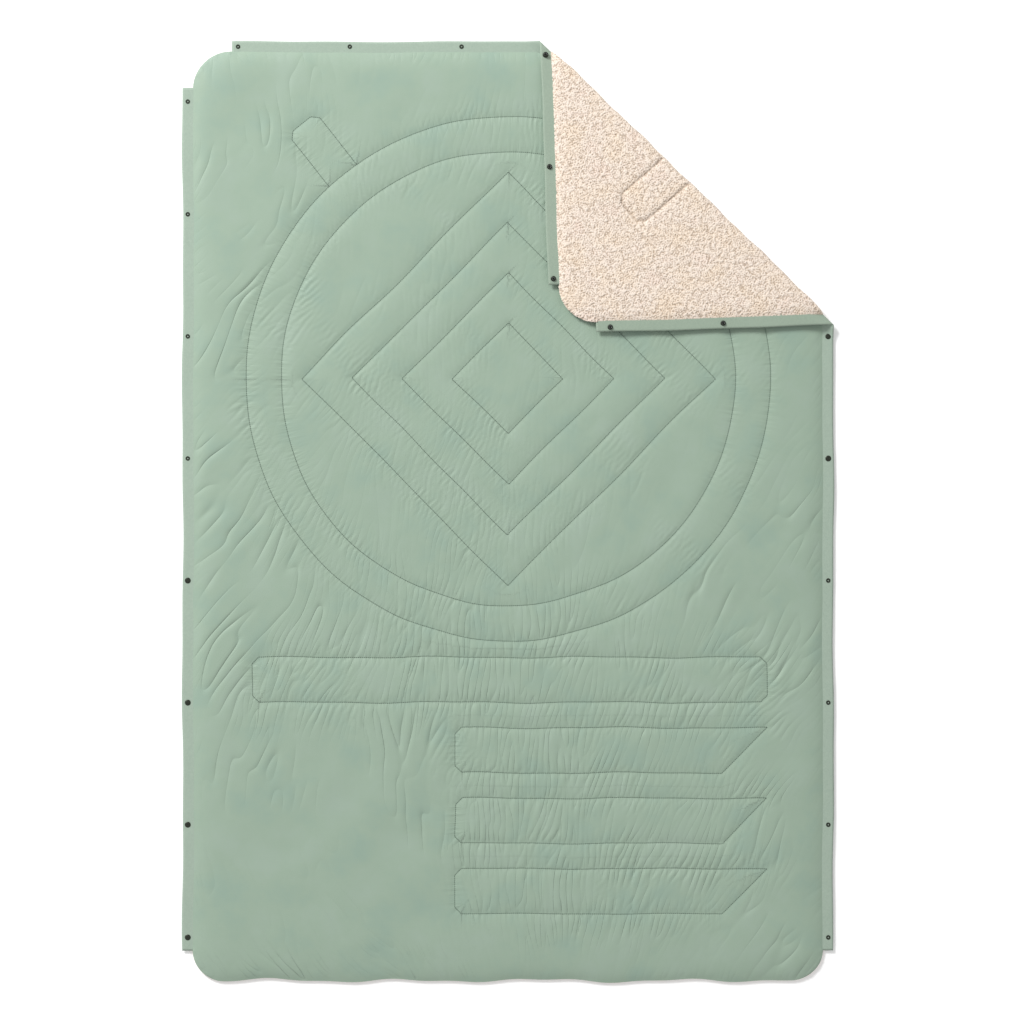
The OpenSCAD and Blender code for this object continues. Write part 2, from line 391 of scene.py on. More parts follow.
def waves_per_cell(shape):
    """How many waves there are to a grid cell, for each term of a field's Fourier transform."""
    return np.hypot(np.fft.fftfreq(shape[0])[:, None], np.fft.rfftfreq(shape[1])[None, :])


def filtered_noise(shape, gain, rng):
    """A random field about 1 in size, with the gain given for each term of its transform."""
    spectrum = np.fft.rfft2(rng.standard_normal(shape))
    out = np.fft.irfft2(spectrum * gain, shape)
    return out / out.std()


def smooth_noise(shape, wave, rng):
    """A smooth random field with bumps about wave cells wide."""
    return filtered_noise(shape, np.exp(-((waves_per_cell(shape) * wave) ** 2)), rng)


def banded_noise(shape, wave, sharpness, rng):
    """A random field of ripples that are all about wave cells wide."""
    off = (waves_per_cell(shape) * wave - 1) * sharpness
    return filtered_noise(shape, np.exp(-(off ** 2)), rng)


def blurred(field, cells):
    """The field averaged over a soft spot that is about cells wide."""
    gain = np.exp(-((waves_per_cell(field.shape) * np.pi * cells) ** 2))
    return np.fft.irfft2(np.fft.rfft2(field) * gain, field.shape)


def sampled(field, p):
    """The value at points p, in mm, of a field that covers the flat blanket."""
    x = (p[..., 0] + BODY_X) / (2 * BODY_X) * (field.shape[1] - 1)
    y = (p[..., 1] - BODY_BOTTOM) / (BODY_TOP - BODY_BOTTOM) * (field.shape[0] - 1)
    x = np.clip(x, 0, field.shape[1] - 1.001)
    y = np.clip(y, 0, field.shape[0] - 1.001)
    i, j = y.astype(int), x.astype(int)
    u, v = x - j, y - i
    low = field[i, j] * (1 - u) + field[i, j + 1] * u
    high = field[i + 1, j] * (1 - u) + field[i + 1, j + 1] * u
    return low * (1 - v) + high * v


def streaks(p, across, wave, length, rng):
    """Ripples wave mm apart, about 1 in size, drawn out for length mm along the direction across."""
    field = banded_noise(p.shape[:2], wave / SHELL_CELL, 1.3, rng)
    total = np.zeros(p.shape[:2])
    for d in np.arange(-length, length + 1, SHELL_CELL * 0.9):
        total += sampled(field, p + across * d) * math.exp(-((d / length * 1.6) ** 2))
    return total / total.std()


def crossing(flat, ripples, way, wave):
    """From 0 to 1: how well the ripples follow one another along way, as gathers do."""
    ahead = sampled(ripples, flat + way * SHELL_CELL)
    behind = sampled(ripples, flat - way * SHELL_CELL)
    slope = (ahead - behind) / (2 * SHELL_CELL) * wave / (2 * np.pi)
    mean = blurred(slope ** 2, 0.3 * wave / SHELL_CELL)
    return np.clip(1.5 * mean, 0, 1)


def puffed(ripples):
    """Puffy bands with a narrow valley between them wherever the ripples cross zero."""
    return 1 - fading(abs(ripples), VALLEY)


# ------------ the flat grid and its faces

def grid_lines(low, high, origin, cell):
    """Evenly spaced lines through origin, with the outermost moved onto low and high."""
    first, last = round((low - origin) / cell), round((high - origin) / cell)
    lines = origin + cell * np.arange(first, last + 1.0)
    lines[0], lines[-1] = low, high
    return lines


def snapped_grid():
    """The shell's grid, with points moved onto the stitches, the crease and the rounded corners."""
    x = grid_lines(-BODY_X, BODY_X, 0, SHELL_CELL)
    y = grid_lines(BODY_BOTTOM, BODY_TOP, RING_Y, SHELL_CELL)
    flat = np.stack(np.meshgrid(x, y), -1)
    away, at, along, _ = nearest_stitch(flat)
    on_stitch = away <= SNAP_REACH * abs(along).max(-1)
    flat[on_stitch] = at[on_stitch]
    beyond = past_crease(flat)
    on_crease = (abs(beyond) <= SNAP_REACH * abs(CREASE_ALONG).max()) & ~on_stitch
    flat[on_crease] -= beyond[on_crease][:, None] * CREASE_OUT
    on_crease |= on_stitch & (abs(beyond) < 0.05)
    gap, near = inside(flat)
    rim = np.zeros(flat.shape[:2], bool)
    rim[[0, -1], :] = True
    rim[:, [0, -1]] = True
    reach = np.full(flat.shape[:2], SNAP_REACH)
    reach[[0, -1], :] = np.array([y[1] - y[0], y[-1] - y[-2]])[:, None] - SNAP_REACH
    reach[:, [0, -1]] = np.array([x[1] - x[0], x[-1] - x[-2]]) - SNAP_REACH
    to_corner = np.where(rim, (gap < -0.01) & (gap >= -reach), abs(gap) <= SNAP_REACH)
    flat[to_corner] = near[to_corner]
    outside = (gap < -0.01) & ~to_corner
    on_edge = to_corner | (rim & ~outside)
    return flat, on_stitch, on_crease, on_edge, outside


def triangles(kept, ties):
    """Two triangles for each grid square, split along the diagonal that joins two tied points."""
    index = np.arange(kept.size).reshape(kept.shape)
    a, b = index[:-1, :-1], index[:-1, 1:]
    c, d = index[1:, 1:], index[1:, :-1]
    tied_ac = ties[:-1, :-1] & ties[1:, 1:]
    tied_bd = ties[:-1, 1:] & ties[1:, :-1]
    checker = (np.add.outer(np.arange(a.shape[0]), np.arange(a.shape[1])) % 2).astype(bool)
    use_bd = (tied_bd & ~tied_ac) | (~tied_ac & ~tied_bd & checker)
    missing_ac = ~(kept[:-1, :-1] & kept[1:, 1:])
    missing_bd = ~(kept[:-1, 1:] & kept[1:, :-1])
    use_bd = (use_bd | missing_ac) & ~missing_bd
    first = np.where(use_bd[..., None], np.stack([a, b, d], -1), np.stack([a, b, c], -1))
    second = np.where(use_bd[..., None], np.stack([b, c, d], -1), np.stack([a, c, d], -1))
    both = np.concatenate([first.reshape(-1, 3), second.reshape(-1, 3)])
    return both[kept.reshape(-1)[both].all(1)]


def face_areas(flat, faces):
    """The faces' areas on the flat cloth, in square mm."""
    a, b, c = (flat.reshape(-1, 2)[faces[:, i]] for i in range(3))
    return 0.5 * abs((b - a)[:, 0] * (c - a)[:, 1] - (b - a)[:, 1] * (c - a)[:, 0])


def cloth_faces(flat, outside, ties):
    """The grid's faces inside the outline, without slivers."""
    faces = triangles(~outside, ties)
    return faces[face_areas(flat, faces) > SLIVER]


def flat_area(flat, faces):
    """Area of the faces on the flat cloth, in square metres."""
    return float(face_areas(flat, faces).sum()) * MM * MM


def beyond_crease(flat, faces):
    """Whether the middle of each face lies beyond the crease."""
    return past_crease(flat.reshape(-1, 2)[faces].mean(1)) > 0


# ------------ the shell's cloth

def foot_share(x, y):
    """How far a point lies in the left part of the blanket's foot, from 0 to 1."""
    return rising(-y, 620, 220) * rising(-x, -60, 250)


def drape_direction(p, rng):
    """The direction that gathers and folds run in: upright, and leaning at the sides and the foot."""
    x, y = p[..., 0], p[..., 1]
    left = rising(-x, 200, 350) * rising(y, -560, 300) * np.clip((780 - y) / 160, -0.8, 1)
    right = rising(x, 100, 450)
    lean = SIDE_LEAN * (left + 0.8 * right - 1.2 * foot_share(x, y))
    lean += 0.1 + 0.14 * smooth_noise(x.shape, 160 / SHELL_CELL, rng)
    return np.stack([np.sin(lean), np.cos(lean)], -1)


def fold_zones(x, y):
    """Where the broad folds are, from 0 to 1: on both sides, below the ring and at the lower left."""
    outside_ring = rising(np.hypot(x, y - RING_Y), RING_RADII[0], 25)
    left_side = rising(-x, 330, 150) * rising(y, -480, 150) * outside_ring * rising(-y, -1150, 400)
    low_left = rising(-x, 60, 120) * rising(-y, 380, 80) * (0.75 - 0.6 * foot_share(x, y))
    low_right = rising(x, 480, 100) * rising(-y, -150, 200) * outside_ring
    below_ring = rising(-y, -60, 150) * rising(y, -330, 60) * outside_ring
    return np.max([left_side, low_left, 0.8 * low_right, 0.7 * below_ring], axis=0)


def gathers(flat, away, along, gap, rng):
    """The direction across the gathers, and the fine and the broad ones' ripples and strengths."""
    shape = flat.shape[:2]
    x, y = flat[..., 0], flat[..., 1]
    folds = drape_direction(flat, rng)
    way = np.stack([folds[..., 1], -folds[..., 0]], -1)
    fine = streaks(flat, folds, FINE_WAVE, FINE_RUN, rng)
    broad = streaks(flat, folds, BROAD_WAVE, BROAD_RUN, rng)
    patches = np.clip(0.95 + 0.3 * smooth_noise(shape, 120 / SHELL_CELL, rng), 0.4, 1.5)
    rare = np.clip(0.55 + 0.7 * smooth_noise(shape, 150 / SHELL_CELL, rng), 0, 1.6)
    held = np.minimum(away, gap)
    crossed = blurred(dot(way, along) ** 2, 20 / SHELL_CELL)
    lower = rising(-y, -200, 500)
    at_stitch = (0.25 + 0.75 * lower) * patches * crossed * bell(away, GATHER_REACH)
    at_foot = 1.3 * foot_share(x, y) * bell(y - BODY_BOTTOM, FOOT_REACH)
    at_hem = patches * np.maximum(0.35 * bell(gap, HEM_REACH), at_foot)
    fine_strength = (at_stitch + at_hem) * (1 - fading(held, 4))
    fine_strength *= crossing(flat, fine, way, FINE_WAVE)
    broad_strength = 0.14 + 0.85 * fold_zones(x, y)
    broad_strength *= rare * (1 - fading(held, 16))
    broad_strength *= crossing(flat, broad, way, BROAD_WAVE)
    return way, (fine, fine_strength), (broad, broad_strength)


def loft_targets(away, gap, beyond, fine, broad, rng):
    """How high the batting pushes the shell."""
    swell = 0.8 * smooth_noise(away.shape, 140 / SHELL_CELL, rng)
    swell *= (1 - fading(away, 40)) * (1 - fading(gap, 30))
    at_stitch = (LOFT_Z - STITCH_Z) * fading(away, STITCH_PULL)
    at_seam = (LOFT_Z - SEAM_Z) * fading(gap, SEAM_PULL)
    loft = LOFT_Z - at_stitch - at_seam
    for (ripples, strength), depth in ((fine, FINE_DEPTH), (broad, BROAD_DEPTH)):
        loft = loft + depth * strength * (puffed(ripples) - 0.75)
    loft = loft + swell
    by_crease = fading(abs(beyond), CREASE_PULL) * np.clip(gap / 15, 0, 1)
    return loft + (CREASE_Z - loft) * by_crease


def spare_cloth(away, gap, rng):
    """The share by which the cloth is longer than the ground it lies on."""
    uneven = 0.75 + 0.35 * smooth_noise(away.shape, 30, rng)
    at_stitch = STITCH_SPARE * bell(away, 55) * uneven
    return np.maximum(np.maximum(at_stitch, 0), SEAM_SPARE * fading(gap, 25))


def threads_between(a, b, cut, way, spare, free):
    """Threads from each point of slice a to slice b: their lengths, and each end's share of a fix."""
    d = cut[b] - cut[a]
    length = np.linalg.norm(d, axis=-1)
    lie = dot(d, 0.5 * (way[a] + way[b])) / np.maximum(length, 1e-6)
    length = length * (1 + 0.5 * (spare[a] + spare[b]) * lie ** 2)
    total = np.maximum(free[a] + free[b], 1e-6)
    return a, b, length.astype(np.float32), (free[a] / total)[..., None], (free[b] / total)[..., None]


def all_threads(cut, way, spare, free):
    """The cloth's threads along the rows, the columns and both diagonals."""
    rows, columns = free.shape
    threads = []
    for k in (0, 1):
        for a, b in (
            (np.s_[:, k:columns - 1:2], np.s_[:, k + 1:columns:2]),
            (np.s_[k:rows - 1:2, :], np.s_[k + 1:rows:2, :]),
            (np.s_[k:rows - 1:2, :-1], np.s_[k + 1:rows:2, 1:]),
            (np.s_[k:rows - 1:2, 1:], np.s_[k + 1:rows:2, :-1]),
        ):
            threads.append(threads_between(a, b, cut, way, spare, free))
    return threads


def settle(flat, target, way, away, gap, pinned, pinned_z, rng):
    """The shell's cloth between its pins: a little long at the stitches, pushed up by the batting."""
    free = (~pinned).astype(np.float32)
    z = np.where(pinned, pinned_z, target + ROUGH_START * rng.standard_normal(target.shape))
    p = np.dstack([flat, z]).astype(np.float32)
    cut = flat.astype(np.float32)
    threads = all_threads(cut, way, spare_cloth(away, gap, rng), free)
    push = BATTING_PUSH * free
    goal = target.astype(np.float32)
    for _ in range(SOLVER_STEPS):
        for a, b, length, share_a, share_b in threads:
            d = p[b] - p[a]
            now = np.sqrt(dot(d, d))
            fix = (STRETCH_FIX * (now - length) / np.maximum(now, 1e-6))[..., None] * d
            p[a] += share_a * fix
            p[b] -= share_b * fix
        z = p[..., 2]
        mean = z.copy()
        mean[1:-1, 1:-1] = 0.25 * (z[:-2, 1:-1] + z[2:, 1:-1] + z[1:-1, :-2] + z[1:-1, 2:])
        p[..., 2] += free * STIFFNESS * (mean - z) + push * (goal - z)
        p[..., :2] += (0.5 * push)[..., None] * (cut - p[..., :2])
    return p.astype(float)


def pressed(z, top):
    """Heights eased so that none passes top."""
    ease = 1.6
    start = top - ease
    return np.where(z > start, start + ease * np.tanh((z - start) / ease), z)


def kept_under(p, flat, beyond, pinned):
    """The settled shell, eased to fit below its ceiling, which is lower under the turned corner."""
    mirrored = flat - 2 * beyond[..., None] * CREASE_OUT
    covered = rising(inside(mirrored)[0], -40, 40) * (beyond < 30)
    ceiling = LOFT_TOP + (UNDER_FLAP_TOP - LOFT_TOP) * covered
    p[..., 2] = np.where(pinned, p[..., 2], pressed(p[..., 2], ceiling))
    return p


# ------------ meshes

def add_piece(name, points, faces, material, attributes=None):
    """A mesh piece from points in mm and faces with equally many corners, without unused points."""
    points = points.reshape(-1, 3)
    used, renumbered = np.unique(faces, return_inverse=True)
    faces = renumbered.reshape(faces.shape)
    mesh = bpy.data.meshes.new(name)
    mesh.vertices.add(len(used))
    mesh.vertices.foreach_set("co", (points[used] * MM).astype(np.float32).ravel())
    mesh.loops.add(faces.size)
    mesh.loops.foreach_set("vertex_index", faces.astype(np.int32).ravel())
    mesh.polygons.add(len(faces))
    starts = np.arange(0, faces.size, faces.shape[1], dtype=np.int32)
    mesh.polygons.foreach_set("loop_start", starts)
    mesh.update(calc_edges=True)
    mesh.shade_smooth()
    for key, value in (attributes or {}).items():
        value = value.reshape(points.shape[0], -1)[used].astype(np.float32)
        if value.shape[1] == 1:
            mesh.attributes.new(key, "FLOAT", "POINT").data.foreach_set("value", value.ravel())
        else:
            mesh.attributes.new(key, "FLOAT_VECTOR", "POINT").data.foreach_set("vector", value.ravel())
    mesh.materials.append(material)
    piece = bpy.data.objects.new(name, mesh)
    bpy.context.scene.collection.objects.link(piece)
    return piece


def rim_faces(top, shift):
    """Triangles that join the free edges of top to the same points shift further on."""
    edges = np.concatenate([top[:, [0, 1]], top[:, [1, 2]], top[:, [2, 0]]])
    key = np.sort(edges, axis=1)
    _, index, count = np.unique(key, axis=0, return_index=True, return_counts=True)
    a, b = edges[index[count == 1]].T
    return np.concatenate([np.stack([b, a, a + shift], -1), np.stack([b, a + shift, b + shift], -1)])


def closed_slab(high, low, top):
    """Points and faces of a closed slab between two grids. top holds the upper grid's faces."""
    points = np.concatenate([high.reshape(-1, 3), low.reshape(-1, 3)])
    shift = len(points) // 2
    return points, np.concatenate([top, top[:, ::-1] + shift, rim_faces(top, shift)])


# ------------ materials

class Nodes:
    """A short way to build a node material: each call adds a node and links or sets its inputs."""

    def __init__(self, name, **shader):
        self.material = bpy.data.materials.new(name)
        self.material.use_nodes = True
        self.tree = self.material.node_tree
        self.shader = self.tree.nodes["Principled BSDF"]
        for key, value in shader.items():
            self.shader.inputs[key.replace("_", " ")].default_value = value

    def add(self, kind, inputs=None, **settings):
        node = self.tree.nodes.new("ShaderNode" + kind)
        for key, value in settings.items():
            setattr(node, key, value)
        for key, value in (inputs or {}).items():
            self.feed(node.inputs[key], value)
        return node

    def feed(self, socket, value):
        if isinstance(value, bpy.types.NodeSocket):
            self.tree.links.new(value, socket)
        else:
            socket.default_value = value

    def attribute(self, name):
        return self.add("Attribute", attribute_name=name)

    def math(self, operation, a, b=0.0):
        return self.add("Math", {0: a, 1: b}, operation=operation).outputs[0]

    def noise(self, vector, scale, detail=2.0, roughness=0.5):
        inputs = {"Vector": vector, "Scale": scale, "Detail": detail, "Roughness": roughness}
        return self.add("TexNoise", inputs).outputs["Fac"]

    def scaled(self, vector, scale):
        return self.add("VectorMath", {0: vector, 1: scale}, operation="MULTIPLY").outputs[0]

    def ramp(self, value, stops):
        node = self.add("ValToRGB", {"Fac": value})
        colours = node.color_ramp.elements
        while len(colours) < len(stops):
            colours.new(0.5)
        for element, (place, colour) in zip(colours, stops):
            element.position = place
            element.color = (*colour, 1.0)
        return node.outputs["Color"]

    def mixed(self, share, a, b, **settings):
        node = self.add("Mix", {"Factor": share}, data_type="RGBA", **settings)
        self.feed(node.inputs["A"], a)
        self.feed(node.inputs["B"], b)
        return node.outputs["Result"]

    def bump(self, height, distance, strength=1.0, under=None):
        inputs = {"Height": height, "Distance": distance, "Strength": strength}
        if under is not None:
            inputs["Normal"] = under
        return self.add("Bump", inputs).outputs["Normal"]

    def use(self, **sockets):
        for key, value in sockets.items():
            self.feed(self.shader.inputs[key.replace("_", " ")], value)
        return self.material


def ripstop_weave(m, cloth):
    """Height of a fine weave with a ripstop grid."""
    grid_pitch, line_share = 5.0, 0.12
    apart = m.add("SeparateXYZ", {0: cloth})
    lines = []
    for axis in ("X", "Y"):
        turn = m.math("FRACT", m.math("MULTIPLY", apart.outputs[axis], 1 / grid_pitch))
        lines.append(m.math("LESS_THAN", turn, line_share))
    grid = m.math("MAXIMUM", lines[0], lines[1])
    weave = m.noise(cloth, 1.4, 2.0)
    return m.math("ADD", m.math("MULTIPLY", grid, 0.5), m.math("MULTIPLY", weave, 0.5))


def with_stitch_gathers(m, quilt, normal):
    """The normal with fine gathers across the stitches."""
    fade_reach = 14
    away = m.add("SeparateXYZ", {0: quilt}).outputs["Y"]
    creases = m.noise(m.scaled(quilt, (1 / 8, 1 / 60, 1.0)), 1.0, 2.0, 0.45)
    near = m.math("POWER", math.e, m.math("MULTIPLY", away, -1 / fade_reach))
    return m.bump(m.math("MULTIPLY", creases, near), 0.003, 0.8, normal)


def with_valleys(m, name, depth, normal):
    """The normal with narrow valleys between folds; name holds their ripples and strength."""
    folds = m.add("SeparateXYZ", {0: m.attribute(name).outputs["Vector"]})
    close = m.math("MULTIPLY", m.math("ABSOLUTE", folds.outputs["X"]), -1 / (0.6 * VALLEY))
    valley = m.math("MULTIPLY", m.math("POWER", math.e, close), folds.outputs["Y"])
    return m.bump(m.math("MULTIPLY", valley, -1.0), 0.3 * depth * MM, 1.0, normal)


def ripstop_material():
    """Thin woven nylon with a ripstop grid and fine gathers across the stitches."""
    m = Nodes("ripstop", Roughness=0.55, Sheen_Weight=0.25, Sheen_Roughness=0.5, Specular_IOR_Level=0.35)
    cloth = m.attribute("cloth").outputs["Vector"]
    quilt = m.attribute("quilt").outputs["Vector"]
    sage = [(0.3, (0.262, 0.362, 0.290)), (0.5, (0.285, 0.378, 0.293)), (0.7, (0.298, 0.389, 0.311))]
    colour = m.ramp(m.noise(cloth, 0.009, 3.0, 0.6), sage)
    normal = m.bump(ripstop_weave(m, cloth), 0.00006, 0.5)
    normal = with_stitch_gathers(m, quilt, normal)
    normal = with_valleys(m, "fine_folds", FINE_DEPTH, normal)
    normal = with_valleys(m, "broad_folds", BROAD_DEPTH, normal)
    return m.use(Base_Color=colour, Normal=normal)


def sherpa_material():
    """Curly cream pile: cream tips, painted shade that darkens the gaps between curls, and warm tints."""
    m = Nodes("sherpa", Roughness=0.95, Sheen_Weight=0.3, Sheen_Roughness=0.6, Specular_IOR_Level=0.1)
    cloth = m.attribute("cloth").outputs["Vector"]
    curl = m.attribute("curl").outputs["Fac"]
    fuzz = m.noise(cloth, 0.9, 3.0, 0.65)
    tint = m.noise(cloth, 0.016, 2.0, 0.5)
    depth = m.math("ADD", curl, m.math("MULTIPLY", m.math("SUBTRACT", fuzz, 0.5), 0.6))
    # Painted shade: the ramp turns the pile dark beige where the curls sink, for the shade in the gaps.
    gap_shade = [(0.0, (0.42, 0.33, 0.25)), (0.3, (0.61, 0.505, 0.415))]
    tips = [(0.62, (0.755, 0.645, 0.55)), (1.0, (0.835, 0.735, 0.64))]
    pile = m.ramp(depth, gap_shade + tips)
    warm = m.ramp(tint, [(0.3, (1.0, 0.965, 0.90)), (0.55, (1.0, 1.0, 1.0)), (0.75, (1.0, 0.955, 0.95))])
    colour = m.mixed(1.0, pile, warm, blend_type="MULTIPLY")
    return m.use(Base_Color=colour, Normal=m.bump(fuzz, 0.0007, 0.7))


def tape_material():
    """Ribbed woven tape, with painted shade on its lining side, which faces up on the turned corner."""
    m = Nodes("woven_tape", Roughness=0.7, Sheen_Weight=0.3)
    cloth = m.attribute("cloth").outputs["Vector"]
    under = m.attribute("under").outputs["Fac"]
    wave = {"Vector": cloth, "Scale": 0.35, "Distortion": 0.4}
    rib = m.add("TexWave", wave, bands_direction="DIAGONAL").outputs["Fac"]
    grain = m.noise(cloth, 0.25, 3.0, 0.6)
    shown = m.ramp(grain, [(0.3, (0.305, 0.392, 0.318)), (0.7, (0.340, 0.428, 0.348))])
    # Painted shade: the lining side, which shows on the turned corner's tapes, gets darker colours.
    shaded_back = m.ramp(grain, [(0.3, (0.268, 0.345, 0.268)), (0.7, (0.300, 0.378, 0.295))])
    normal = m.bump(rib, 0.0003, 0.6, m.bump(grain, 0.0004, 0.5))
    return m.use(Base_Color=m.mixed(under, shown, shaded_back), Normal=normal)


def grained_material(m, place, noise, colours, relief):
    """One noise gives this material its colour, from dark to light, and its relief."""
    grain = m.noise(place, *noise)
    colour = m.ramp(grain, [(0.3, colours[0]), (0.7, colours[1])])
    return m.use(Base_Color=colour, Normal=m.bump(grain, *relief))


def thread_material(name, roughness, colours):
    """Twisted thread."""
    m = Nodes(name, Roughness=roughness)
    return grained_material(m, m.attribute("cloth").outputs["Vector"], (0.8,), colours, (0.0002, 0.5))


def wire_material():
    """Drawn steel wire."""
    m = Nodes("spring_wire", Metallic=1.0, Roughness=0.3)
    steel = ((0.45, 0.46, 0.47), (0.62, 0.63, 0.64))
    return grained_material(m, m.add("TexCoord").outputs["Object"], (1500.0,), steel, (0.00005, 0.4))


def batting_material():
    """White polyester batting."""
    m = Nodes("batting", Roughness=1.0)
    white = ((0.72, 0.72, 0.70), (0.86, 0.86, 0.84))
    place = m.add("TexCoord").outputs["Object"]
    return grained_material(m, place, (260.0, 4.0, 0.7), white, (0.002, 0.6))


def snap_material():
    """Gunmetal paint, worn lighter in places."""
    m = Nodes("gunmetal", Metallic=0.6, Roughness=0.42)
    place = m.add("TexCoord").outputs["Object"]
    wear = m.noise(place, 900.0, 3.0, 0.6)
    paint = [(0.35, (0.018, 0.022, 0.016)), (0.6, (0.035, 0.042, 0.030)), (0.8, (0.14, 0.15, 0.12))]
    rough = m.add("MapRange", {"Value": wear, "To Min": 0.3, "To Max": 0.5}).outputs[0]
    return m.use(Base_Color=m.ramp(wear, paint), Roughness=rough, Normal=m.bump(wear, 0.0001, 0.3))


RIPSTOP = ripstop_material()
SHERPA = sherpa_material()
TAPE = tape_material()
THREAD = thread_material("quilting_thread", 0.6, ((0.075, 0.11, 0.085), (0.135, 0.185, 0.145)))
LINING_THREAD = thread_material("lining_thread", 0.7, ((0.45, 0.36, 0.28), (0.6, 0.5, 0.4)))
SNAP = snap_material()
WIRE = wire_material()
BATTING = batting_material()


# ------------ shell

def fold(piece):
    """Bakes this piece's placement into its mesh points."""
    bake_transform(piece)


def build_shell(rng):
    """The ripstop shell: the part that lies flat, and the part that is turned over with the corner."""
    flat, on_stitch, on_crease, on_edge, outside = snapped_grid()
    away, _, along, run = nearest_stitch(flat)
    beyond = past_crease(flat)
    gap = np.maximum(inside(flat)[0], 0)
    way, fine, broad = gathers(flat, away, along, gap, rng)
    target = loft_targets(away, gap, beyond, fine, broad, rng)
    pinned = on_stitch | on_crease | on_edge | outside
    pinned_z = raised_at_crease(np.where(on_edge, SEAM_Z, STITCH_Z), beyond)
    pinned_z[on_crease] = CREASE_Z
    p = settle(flat, target, way, away, gap, pinned, pinned_z, rng)
    p = drifted(kept_under(p, flat, beyond, pinned))
    faces = cloth_faces(flat, outside, on_stitch | on_crease)
    turns = beyond_crease(flat, faces)
    none = np.zeros_like(away)
    attributes = {
        "cloth": np.stack([flat[..., 0], flat[..., 1], none], -1),
        "quilt": np.stack([run, away, none], -1),
        "fine_folds": np.stack([*fine, none], -1),
        "broad_folds": np.stack([*broad, none], -1),
    }
    main = add_piece("shell_main", p, faces[~turns], RIPSTOP, attributes)
    corner = add_piece("shell_corner", turned(p), faces[turns], RIPSTOP, attributes)
    mark_sharp(main, on_stitch.reshape(-1), faces[~turns])
    fold(main)
    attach(corner, "turned_corner")
    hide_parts("right_shell", "left_shell")
    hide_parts("corner_shell")
    return main, corner, (flat_area(flat, faces[~turns]), flat_area(flat, faces[turns]))


def mark_sharp(piece, on_stitch, faces):
    """Marks the shell's edges along the stitches as sharp."""
    held = on_stitch[np.unique(faces)]
    mesh = piece.data
    ends = np.zeros(len(mesh.edges) * 2, np.int32)
    mesh.edges.foreach_get("vertices", ends)
    sharp = held[ends.reshape(-1, 2)].all(1)
    mesh.attributes.new("sharp_edge", "BOOLEAN", "EDGE").data.foreach_set("value", sharp)


# ------------ lining

def lining_height(beyond, gap, away):
    """Height of the pile's tips above the floor, where stitches and the seam pull the lining in."""
    at_rim = fading(gap, RIM_REACH)
    dimple = DIMPLE_DEPTH * np.exp(-((away / DIMPLE_REACH) ** 1.2))
    return raised_at_crease(SEAM_Z, beyond) * at_rim + dimple * (1 - at_rim)


def curls(shape, cell, rng):
    """The pile's squiggly curls, from 0 in the gaps to 1 on top."""
    worms = banded_noise(shape, CURL_WAVE / cell, 1.2, rng)
    clumps = banded_noise(shape, CLUMP_WAVE / cell, 1.0, rng)
    return 1 / (1 + np.exp(-1.9 * (worms + 0.45 * clumps + 0.3)))


def fluffed(flat, gap, near, curl, bulge):
    """The pile bulges out over the seam."""
    out = near - flat
    away = np.maximum(np.linalg.norm(out, axis=-1), 1e-6)
    push = bulge * np.sin(np.pi * np.clip(gap / BULGE_WIDTH, 0, 1)) * (0.45 + 0.8 * curl)
    return flat + out / away[..., None] * push[..., None]


def build_lining_main(rng):
    """The lining that lies on the floor."""
    flat, on_stitch, on_crease, _, outside = snapped_grid()
    away = nearest_stitch(flat)[0]
    beyond = past_crease(flat)
    gap, near = inside(flat)
    gap = np.maximum(gap, 0)
    curl = np.clip(0.5 + 0.22 * banded_noise(away.shape, FLOOR_CURL_WAVE / SHELL_CELL, 1.3, rng), 0, 1)
    calm = np.clip(abs(beyond) / 12, 0, 1) * np.clip(gap / 8, 0, 1)
    z = lining_height(beyond, gap, away) + CURL_DEPTH * (1 - curl) * calm
    p = drifted(np.dstack([fluffed(flat, gap, near, curl, FLOOR_BULGE), z]))
    faces = cloth_faces(flat, outside, on_stitch | on_crease)[:, ::-1]
    faces = faces[~beyond_crease(flat, faces)]
    cloth = np.dstack([flat, np.zeros_like(away)])
    piece = add_piece("lining_main", p, faces, SHERPA, {"cloth": cloth, "curl": curl})
    fold(piece)
    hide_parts("right_lining", "left_lining")
    return piece, flat_area(flat, faces)


def corner_grid():
    """A fine grid for the turned corner's lining: places along and beyond the crease, and the edge."""
    top_cut = (BODY_TOP - CREASE_POINT[1]) / CREASE_ALONG[1]
    side_cut = (BODY_X - CREASE_POINT[0]) / CREASE_ALONG[0]
    first, last = min(top_cut, side_cut), max(top_cut, side_cut)
    s = np.linspace(first, last, round((last - first) / PILE_CELL) + 1)
    far = past_crease(np.array([BODY_X, BODY_TOP]))
    t = PILE_CELL * np.arange(-round(BEND_LENGTH / PILE_CELL), round(far / PILE_CELL) + 1)
    s, t = np.meshgrid(s, t)
    flat = CREASE_POINT + s[..., None] * CREASE_ALONG + np.maximum(t, 0)[..., None] * CREASE_OUT
    gap, near = inside(flat)
    snap = (abs(gap) <= 0.55 * PILE_CELL) & (t > 0)
    flat[snap] = near[snap]
    gap[snap] = 0
    return s, t, flat, np.maximum(gap, 0), near, gap > -0.01


def bent_round(p, s, t, flat, gap, low):
    """The turned lining, with its points before the crease on a bend down to the lining below."""
    bend = t < 0
    turn = np.pi * (0.5 + t[bend] / BEND_LENGTH)
    tall = CREASE_Z - raised_at_crease(SEAM_Z, 0) * fading(gap[bend], RIM_REACH) - low[bend]
    wave = 1 + swing(0.16, s[bend], 29) + swing(0.12, s[bend], 11, 1)
    wide = BEND_BULGE * wave * (tall + low[bend]) / CREASE_Z - low[bend]
    p[bend, :2] = flat[bend] + (wide * np.cos(turn))[:, None] * CREASE_OUT
    p[bend, 2] = CREASE_Z + tall * np.sin(turn)
    return p


